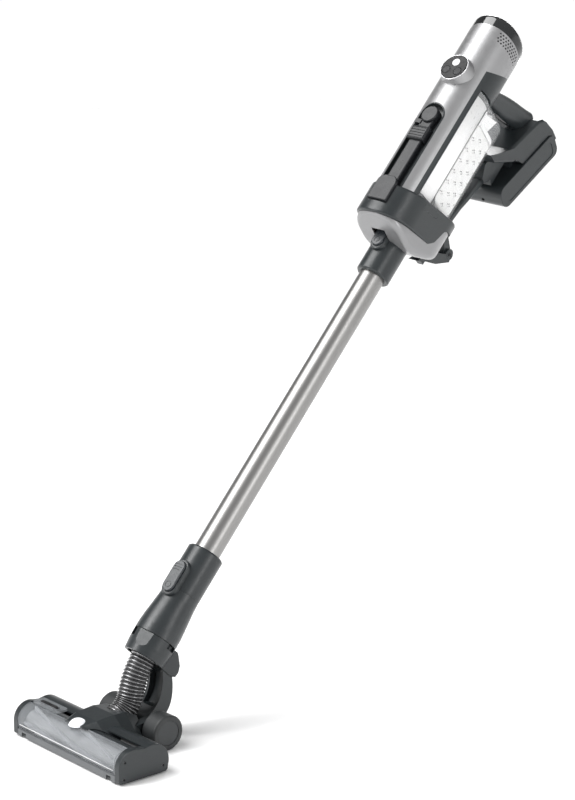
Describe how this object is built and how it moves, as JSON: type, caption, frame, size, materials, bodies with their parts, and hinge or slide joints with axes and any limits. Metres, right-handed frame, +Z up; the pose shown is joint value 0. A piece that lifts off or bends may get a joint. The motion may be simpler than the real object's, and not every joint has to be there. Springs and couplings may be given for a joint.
{
  "type": "cordless stick vacuum cleaner",
  "caption": "Cordless stick vacuum with powered floor head, jointed neck, metal wand and hand unit with clear bin, handle and battery.",
  "frame": {"origin": "middle of the rear glide strip under the floor head, on the floor", "axes": "+X across the floor head to the right end cap, +Y from the brush towards the wheels, +Z up from the floor"},
  "size_m": [0.245, 0.9428, 0.9645],
  "materials": {
    "slate_plastic": "fine satin texture",
    "latch_plastic": "satin",
    "black_plastic": "satin",
    "gloss_cap": "polished",
    "silver_paint": "silver metallic paint",
    "wand_metal": "polished along its length",
    "clear_plastic": "clear",
    "lens_white": "diffusing",
    "sill_plastic": "ribbed",
    "felt": "felt",
    "tyre_rubber": "matt",
    "roller_plastic": "satin",
    "bristle": "soft nylon",
    "core_plastic": "satin",
    "hose_skin": "glossy, finely ribbed",
    "steel": "bright",
    "motor_metal": "plain",
    "pod_fabric": "white with small holes",
    "white_plastic": "satin",
    "key_plastic": "satin",
    "fan_plastic": "plain",
    "filter_media": "pleated"
  },
  "bodies": {
    "floor_head": {"lower_housing": "slate_plastic", "top_cover": "slate_plastic", "front_window": "clear_plastic", "front_sill": "sill_plastic", "right_end_cap": "slate_plastic", "left_end_cap": "slate_plastic", "end_cap_screws": "steel", "glide_strips": "felt", "headlight_lens": "lens_white", "latch_frame": "clear_plastic", "brush_motor": "motor_metal", "drive_belt": "tyre_rubber", "brush_bearings": "steel", "wheel_axle": "steel", "suction_hose": "hose_skin"},
    "brush_roll": {"brush_core": "core_plastic", "brush_bristles": "bristle"},
    "drive_pulley": {"motor_pulley": "steel"},
    "left_wheel": {"left_wheel_hub": "roller_plastic", "left_tyre": "tyre_rubber"},
    "right_wheel": {"right_wheel_hub": "roller_plastic", "right_tyre": "tyre_rubber"},
    "left_roller": {"left_front_roller": "roller_plastic"},
    "right_roller": {"right_front_roller": "roller_plastic"},
    "window_catch": {"window_latch": "black_plastic"},
    "yoke": {"yoke_arm": "slate_plastic", "neck_shroud": "slate_plastic"},
    "neck": {"neck_collar": "slate_plastic", "neck_button_spring": "steel"},
    "neck_release": {"neck_button": "latch_plastic"},
    "wand": {"wand_tube": "wand_metal"},
    "front_door": {"inlet_sleeve": "slate_plastic", "door_shell": "silver_paint", "door_gasket": "tyre_rubber", "door_hinge_pin": "black_plastic", "inlet_button_spring": "steel"},
    "inlet_release": {"inlet_button": "latch_plastic"},
    "main_body": {"front_ring": "slate_plastic", "motor_housing": "silver_paint", "control_panel": "black_plastic", "rear_sleeve": "silver_paint", "top_cap": "gloss_cap", "clear_bin": "clear_plastic", "dust_pod": "pod_fabric", "pod_cap": "white_plastic", "body_frame": "slate_plastic", "lower_spine": "slate_plastic", "handle": "slate_plastic", "handle_grip": "gloss_cap", "battery_cradle": "slate_plastic", "suction_motor": "motor_metal", "motor_filter": "filter_media"},
    "door_catch": {"door_latch": "latch_plastic"},
    "power_key": {"power_button": "white_plastic"},
    "left_key": {"left_function_button": "key_plastic"},
    "right_key": {"right_function_button": "key_plastic"},
    "battery": {"battery_case": "slate_plastic", "battery_cells": "motor_metal"},
    "battery_catch": {"battery_latch": "black_plastic"},
    "fan": {"impeller": "fan_plastic"}
  },
  "joints": [
    {"name": "brush_spin", "type": "hinge", "parent": "floor_head", "child": "brush_roll", "pos_m": [0, -0.036, 0.0205], "axis": [1, 0, 0], "continuous": true},
    {"name": "motor_pulley_spin", "type": "hinge", "parent": "floor_head", "child": "drive_pulley", "pos_m": [0, 0.0004, 0.022], "axis": [1, 0, 0], "continuous": true},
    {"name": "left_wheel_spin", "type": "hinge", "parent": "floor_head", "child": "left_wheel", "pos_m": [-0.051, 0.0633, 0.0245], "axis": [1, 0, 0], "continuous": true},
    {"name": "left_roller_spin", "type": "hinge", "parent": "floor_head", "child": "left_roller", "pos_m": [-0.098, -0.055, 0.0036], "axis": [1, 0, 0], "continuous": true},
    {"name": "right_wheel_spin", "type": "hinge", "parent": "floor_head", "child": "right_wheel", "pos_m": [0.051, 0.0633, 0.0245], "axis": [1, 0, 0], "continuous": true},
    {"name": "right_roller_spin", "type": "hinge", "parent": "floor_head", "child": "right_roller", "pos_m": [0.098, -0.055, 0.0036], "axis": [1, 0, 0], "continuous": true},
    {"name": "window_latch_slide", "type": "slide", "parent": "floor_head", "child": "window_catch", "axis": [1, 0, 0], "range_m": [0, 0.006]},
    {"name": "neck_pitch", "type": "hinge", "parent": "floor_head", "child": "yoke", "pos_m": [0, 0.0633, 0.0245], "axis": [1, 0, 0], "range_deg": [-32, 41], "deforming": ["suction_hose"]},
    {"name": "neck_swivel", "type": "hinge", "parent": "yoke", "child": "neck", "pos_m": [0, 0.09144, 0.13509], "axis": [0, 0.6561, 0.7547], "range_deg": [-45, 25]},
    {"name": "neck_button_press", "type": "slide", "parent": "neck", "child": "neck_release", "axis": [-0.1736, 0.7432, -0.6461], "range_m": [0, 0.0025], "stiffness_N_per_m": 500, "springref_m": -0.001, "deforming": ["neck_button_spring"]},
    {"name": "wand_pull", "type": "slide", "parent": "neck", "child": "wand", "axis": [0, 0.6561, 0.7547], "range_m": [0, 0.053]},
    {"name": "unit_pull", "type": "slide", "parent": "wand", "child": "front_door", "axis": [0, 0.6561, 0.7547], "range_m": [0, 0.048]},
    {"name": "inlet_button_press", "type": "slide", "parent": "front_door", "child": "inlet_release", "axis": [-0.1736, 0.7432, -0.6461], "range_m": [0, 0.0025], "stiffness_N_per_m": 500, "springref_m": -0.001, "deforming": ["inlet_button_spring"]},
    {"name": "door_hinge", "type": "hinge", "parent": "front_door", "child": "main_body", "pos_m": [-0.02049, 0.66003, 0.61206], "axis": [-0.9848, -0.1311, 0.1139], "range_deg": [0, 90]},
    {"name": "door_latch_slide", "type": "slide", "parent": "main_body", "child": "door_catch", "axis": [0, 0.6561, 0.7547], "range_m": [0, 0.005], "stiffness_N_per_m": 200, "springref_m": -0.003},
    {"name": "power_button_press", "type": "slide", "parent": "main_body", "child": "power_key", "axis": [-0.1736, 0.7432, -0.6461], "range_m": [0, 0.0009], "stiffness_N_per_m": 500, "springref_m": -0.001},
    {"name": "left_button_press", "type": "slide", "parent": "main_body", "child": "left_key", "axis": [-0.1736, 0.7432, -0.6461], "range_m": [0, 0.0006], "stiffness_N_per_m": 500, "springref_m": -0.001},
    {"name": "right_button_press", "type": "slide", "parent": "main_body", "child": "right_key", "axis": [-0.1736, 0.7432, -0.6461], "range_m": [0, 0.0006], "stiffness_N_per_m": 500, "springref_m": -0.001},
    {"name": "battery_slide", "type": "slide", "parent": "main_body", "child": "battery", "axis": [0.0479, -0.8355, -0.5474], "range_m": [0, 0.06]},
    {"name": "battery_latch_press", "type": "slide", "parent": "battery", "child": "battery_catch", "axis": [0.1669, -0.5336, 0.8291], "range_m": [0, 0.0018], "stiffness_N_per_m": 500, "springref_m": -0.001},
    {"name": "impeller_spin", "type": "hinge", "parent": "main_body", "child": "fan", "pos_m": [0.00583, 0.69693, 0.88208], "axis": [0, 0.6561, 0.7547], "continuous": true}
  ],
  "couplings": [
    {"joint": "motor_pulley_spin", "follows": "brush_spin", "ratio": 2.3913}
  ]
}
